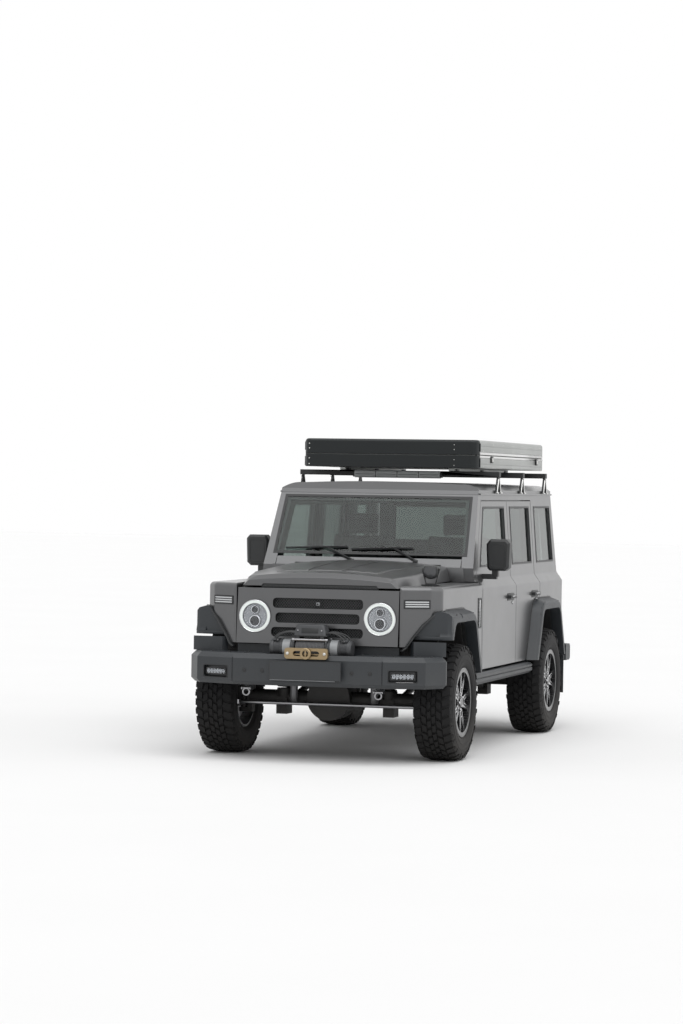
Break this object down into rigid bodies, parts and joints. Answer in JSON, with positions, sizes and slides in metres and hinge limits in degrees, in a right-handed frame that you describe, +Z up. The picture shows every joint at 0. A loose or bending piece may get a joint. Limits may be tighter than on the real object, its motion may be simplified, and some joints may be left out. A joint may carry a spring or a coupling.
{
  "type": "lifted off-road 4x4",
  "caption": "Lifted five-door off-road vehicle with ladder frame, live axles, steel winch bumper, wide wheel flares, roof rack and hard roof tent.",
  "frame": {"origin": "centre of the outline's footprint, on the ground under the tyres", "axes": "front faces -Y, +X is the vehicle's left, +Z up"},
  "size_m": [2.042, 4.722, 2.2969],
  "materials": {
    "body_paint": "satin graphite metallic paint",
    "textured_plastic": "grained dark plastic",
    "black_steel": "black powder coat",
    "chassis_black": "chassis paint with dust",
    "cast_metal": "cast and machined metal",
    "steel": "dull steel",
    "tyre_rubber": "dusty tread rubber",
    "rim_metal": "polished faces with black pockets",
    "clear_glass": "clear glass",
    "dark_glass": "privacy glass",
    "lamp": "lamp units",
    "red_lamp": "red lamp lenses",
    "gold_metal": "gold anodised",
    "tent_shell": "satin extrusions and black ends",
    "trim_black": "black mesh and trim",
    "seat_fabric": "dark cloth",
    "interior_plastic": "soft-feel interior plastic"
  },
  "bodies": {
    "root": {"ladder_frame": "chassis_black", "engine": "cast_metal", "front_axle": "chassis_black", "rear_axle": "chassis_black", "suspension": "black_steel", "fuel_tank": "chassis_black", "exhaust": "steel", "radiator": "trim_black", "floor_pan": "body_paint", "body_shell": "body_paint", "roof_panel": "body_paint", "fixed_glass": "clear_glass", "front_panel": "body_paint", "grille_mesh": "trim_black", "front_lamps": "lamp", "front_wings": "body_paint", "inner_wings": "trim_black", "front_bumper": "textured_plastic", "fog_lamps": "lamp", "winch": "black_steel", "fairlead": "gold_metal", "wheel_flares": "textured_plastic", "side_steps": "textured_plastic", "rear_bumper": "textured_plastic", "rear_lamps": "red_lamp", "roof_rack": "black_steel", "tent_base": "tent_shell", "dashboard": "interior_plastic", "front_seats": "seat_fabric", "rear_bench": "seat_fabric", "wing_mirror_pod": "textured_plastic"},
    "tent_lid": {"tent_lid": "tent_shell"},
    "bonnet": {"bonnet": "body_paint"},
    "tailgate": {"tailgate": "body_paint", "tailgate_glass": "dark_glass", "spare_tyre": "tyre_rubber", "spare_rim": "rim_metal"},
    "knuckle_left": {"knuckle_left": "cast_metal"},
    "knuckle_right": {"knuckle_right": "cast_metal"},
    "track_rod": {"track_rod": "steel"},
    "steering_wheel": {"steering_wheel": "interior_plastic"},
    "door_front_left": {"door_front_left": "body_paint", "glass_front_left": "clear_glass", "mirror_left": "textured_plastic"},
    "door_rear_left": {"door_rear_left": "body_paint", "glass_rear_left": "dark_glass"},
    "wheel_front_left": {"tyre_front_left": "tyre_rubber", "rim_front_left": "rim_metal"},
    "wheel_rear_left": {"tyre_rear_left": "tyre_rubber", "rim_rear_left": "rim_metal"},
    "door_front_right": {"door_front_right": "body_paint", "glass_front_right": "clear_glass", "mirror_right": "textured_plastic"},
    "door_rear_right": {"door_rear_right": "body_paint", "glass_rear_right": "dark_glass"},
    "wheel_front_right": {"tyre_front_right": "tyre_rubber", "rim_front_right": "rim_metal"},
    "wheel_rear_right": {"tyre_rear_right": "tyre_rubber", "rim_rear_right": "rim_metal"}
  },
  "joints": [
    {"name": "steer_left", "type": "hinge", "parent": "root", "child": "knuckle_left", "pos_m": [0.7005, -1.547, 0.414], "axis": [0, 0, 1], "range_deg": [-30, 30]},
    {"name": "steer_right", "type": "hinge", "parent": "root", "child": "knuckle_right", "pos_m": [-0.7005, -1.547, 0.414], "axis": [0, 0, 1], "range_deg": [-30, 30]},
    {"name": "track_rod_turn", "type": "hinge", "parent": "knuckle_left", "child": "track_rod", "pos_m": [0.7005, -1.702, 0.376], "axis": [0, 0, 1], "range_deg": [-30, 30]},
    {"name": "steering_wheel_turn", "type": "hinge", "parent": "root", "child": "steering_wheel", "pos_m": [0.38, -0.312, 1.215], "axis": [0, 0.9063, 0.4226], "range_deg": [-450, 450]},
    {"name": "bonnet_hinge", "type": "hinge", "parent": "root", "child": "bonnet", "pos_m": [0, -0.803, 1.394], "axis": [-1, 0, 0], "range_deg": [0, 50]},
    {"name": "tailgate_hinge", "type": "hinge", "parent": "root", "child": "tailgate", "pos_m": [-0.704, 2.06, 1], "axis": [0, 0, 1], "range_deg": [0, 95]},
    {"name": "tent_lid_hinge", "type": "hinge", "parent": "root", "child": "tent_lid", "pos_m": [0, -0.207, 2.182], "axis": [1, 0, 0], "range_deg": [0, 35]},
    {"name": "door_front_left_hinge", "type": "hinge", "parent": "root", "child": "door_front_left", "pos_m": [0.886, -0.7, 0.9], "axis": [0.0698, 0, -0.9976], "range_deg": [0, 65]},
    {"name": "door_rear_left_hinge", "type": "hinge", "parent": "root", "child": "door_rear_left", "pos_m": [0.886, 0.388, 0.9], "axis": [0.0698, 0, -0.9976], "range_deg": [0, 65]},
    {"name": "roll_front_left", "type": "hinge", "parent": "knuckle_left", "child": "wheel_front_left", "pos_m": [0.8025, -1.547, 0.414], "axis": [1, 0, 0], "continuous": true},
    {"name": "roll_rear_left", "type": "hinge", "parent": "root", "child": "wheel_rear_left", "pos_m": [0.8025, 1.313, 0.414], "axis": [1, 0, 0], "continuous": true},
    {"name": "door_front_right_hinge", "type": "hinge", "parent": "root", "child": "door_front_right", "pos_m": [-0.886, -0.7, 0.9], "axis": [0.0698, 0, 0.9976], "range_deg": [0, 65]},
    {"name": "door_rear_right_hinge", "type": "hinge", "parent": "root", "child": "door_rear_right", "pos_m": [-0.886, 0.388, 0.9], "axis": [0.0698, 0, 0.9976], "range_deg": [0, 65]},
    {"name": "roll_front_right", "type": "hinge", "parent": "knuckle_right", "child": "wheel_front_right", "pos_m": [-0.8025, -1.547, 0.414], "axis": [1, 0, 0], "continuous": true},
    {"name": "roll_rear_right", "type": "hinge", "parent": "root", "child": "wheel_rear_right", "pos_m": [-0.8025, 1.313, 0.414], "axis": [1, 0, 0], "continuous": true}
  ],
  "couplings": [
    {"joint": "steer_right", "follows": "steer_left", "ratio": 1},
    {"joint": "track_rod_turn", "follows": "steer_left", "ratio": -1},
    {"joint": "steering_wheel_turn", "follows": "steer_left", "ratio": 15}
  ]
}
